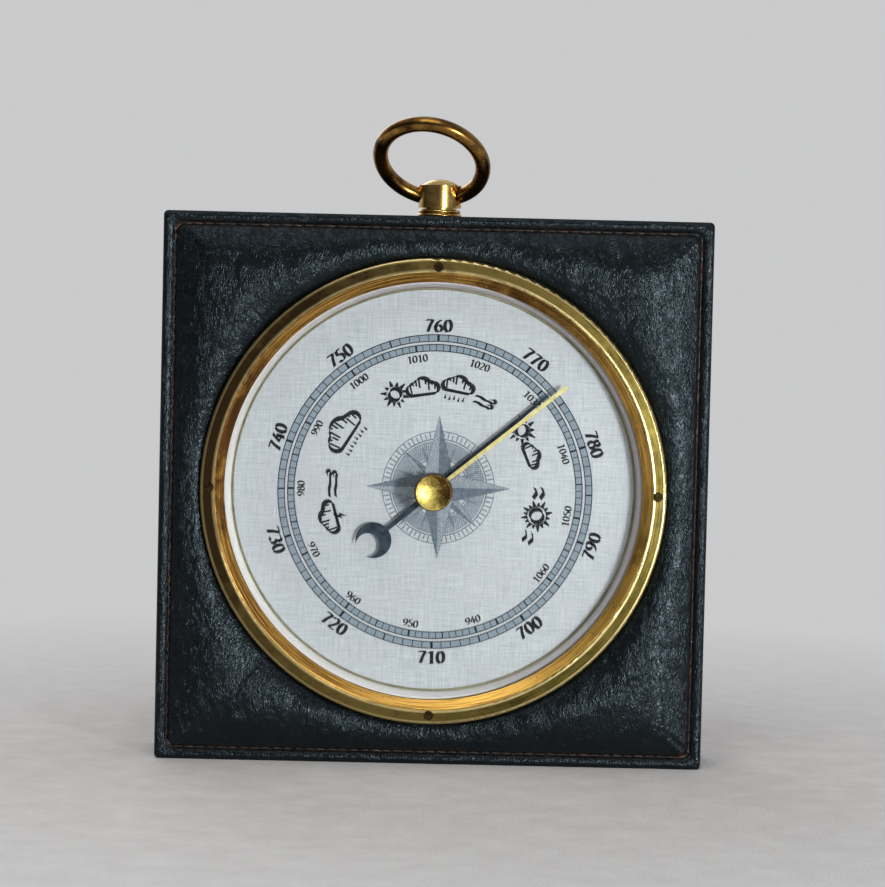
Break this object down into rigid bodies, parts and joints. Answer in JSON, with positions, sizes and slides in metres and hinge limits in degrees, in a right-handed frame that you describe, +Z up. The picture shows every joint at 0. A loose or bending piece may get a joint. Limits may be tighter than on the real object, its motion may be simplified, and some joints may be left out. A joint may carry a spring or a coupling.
{
  "type": "aneroid barometer",
  "caption": "Square padded leather case with a round brass-framed barometer dial, a set hand on a glass knob and a brass hanging ring.",
  "frame": {"origin": "middle of the case's bottom face, which it stands on, at half the case's depth", "axes": "+Z up along the case's height, +X to the right seen from the front, the dial looks along -Y and the back lies on +Y"},
  "size_m": [0.17, 0.0426, 0.2001],
  "materials": {
    "board_wood": "raw board",
    "black_leather": "grained, semi-gloss",
    "foam": "soft foam",
    "thread": "twisted thread",
    "fibreboard": "pressed fibreboard",
    "screw_steel": "dull plated",
    "bezel_brass": "turned, aged",
    "clear_glass": "clear",
    "gasket_rubber": "matte",
    "reflector_metal": "silvery white, satin",
    "trim_brass": "gilt",
    "dial_metal": "silvered, fine linen pattern",
    "polished_brass": "polished",
    "ring_brass": "brown patina",
    "movement_brass": "satin",
    "spring_steel": "tempered",
    "hand_brass": "bright",
    "blued_steel": "dark blue-black",
    "bright_steel": "satin",
    "housing_sheet": "pressed sheet",
    "capsule_metal": "nickel-silver diaphragm"
  },
  "bodies": {
    "case": {"case_board": "board_wood", "side_leather": "black_leather", "front_leather": "black_leather", "foam_pad": "foam", "seam_thread": "thread", "back_cover": "fibreboard", "cover_screws": "screw_steel", "bezel": "bezel_brass", "bezel_screws": "bezel_brass", "glass": "clear_glass", "glass_gasket": "gasket_rubber", "reflector_ring": "reflector_metal", "trim_ring": "trim_brass", "dial_plate": "dial_metal", "pendant": "polished_brass", "pendant_collar": "polished_brass", "glass_bush": "movement_brass", "bush_nut": "movement_brass", "hairspring": "spring_steel", "hairspring_stud": "movement_brass", "movement_housing": "housing_sheet", "movement_screws": "movement_brass", "base_plate": "movement_brass", "pillars": "movement_brass", "pillar_spacers": "movement_brass", "lower_bridge": "movement_brass", "upper_bridge": "movement_brass", "bridge_screws": "bright_steel", "capsule_post": "movement_brass", "capsule_back": "capsule_metal", "capsule_front": "capsule_metal", "spring_block": "movement_brass", "mainspring": "spring_steel", "spring_screws": "bright_steel", "shaft_bearings": "movement_brass", "pull_chain": "spring_steel"},
    "ring": {"hanging_ring": "ring_brass"},
    "set_hand": {"set_knob": "polished_brass", "knob_shaft": "movement_brass", "tension_washer": "spring_steel", "set_hand": "hand_brass"},
    "pointer": {"pointer": "blued_steel", "pointer_arbor": "bright_steel", "chain_pulley": "movement_brass", "hairspring_collet": "movement_brass"},
    "rocker": {"rocking_shaft": "bright_steel"},
    "lever": {"lever_arm": "movement_brass", "lever_rivets": "movement_brass", "connecting_link": "bright_steel", "capsule_stud": "bright_steel"},
    "adjuster": {"adjusting_screw": "movement_brass"}
  },
  "joints": [
    {"name": "ring_swing", "type": "hinge", "parent": "case", "child": "ring", "pos_m": [0, 0, 0.17636], "axis": [0.9681, -0.2504, 0], "range_deg": [-145.5, 50.5]},
    {"name": "set_hand_turn", "type": "hinge", "parent": "case", "child": "set_hand", "pos_m": [0, -0.019, 0.085], "axis": [0, 1, 0], "continuous": true},
    {"name": "pointer_turn", "type": "hinge", "parent": "case", "child": "pointer", "pos_m": [0, -0.01, 0.085], "axis": [0, 1, 0], "range_deg": [-264.9, 77.1], "stiffness_Nm_per_rad": 0.001, "deforming": ["hairspring"]},
    {"name": "rocking_shaft_turn", "type": "hinge", "parent": "case", "child": "rocker", "pos_m": [0.027, 0.0062, 0.085], "axis": [0, 0, 1], "range_deg": [-31.2, 9.1], "deforming": ["pull_chain"]},
    {"name": "lever_tilt", "type": "hinge", "parent": "case", "child": "lever", "pos_m": [-0.03, 0.0054, 0.085], "axis": [0, 0, 1], "range_deg": [-0.94, 0.28], "deforming": ["mainspring", "capsule_front", "capsule_back"]},
    {"name": "adjusting_screw_turn", "type": "hinge", "parent": "case", "child": "adjuster", "pos_m": [-0.03, 0.012, 0.085], "axis": [0, 1, 0], "range_deg": [-360, 360]}
  ],
  "couplings": [
    {"joint": "rocking_shaft_turn", "follows": "pointer_turn", "ratio": 0.11696},
    {"joint": "lever_tilt", "follows": "pointer_turn", "ratio": 0.0035101}
  ]
}
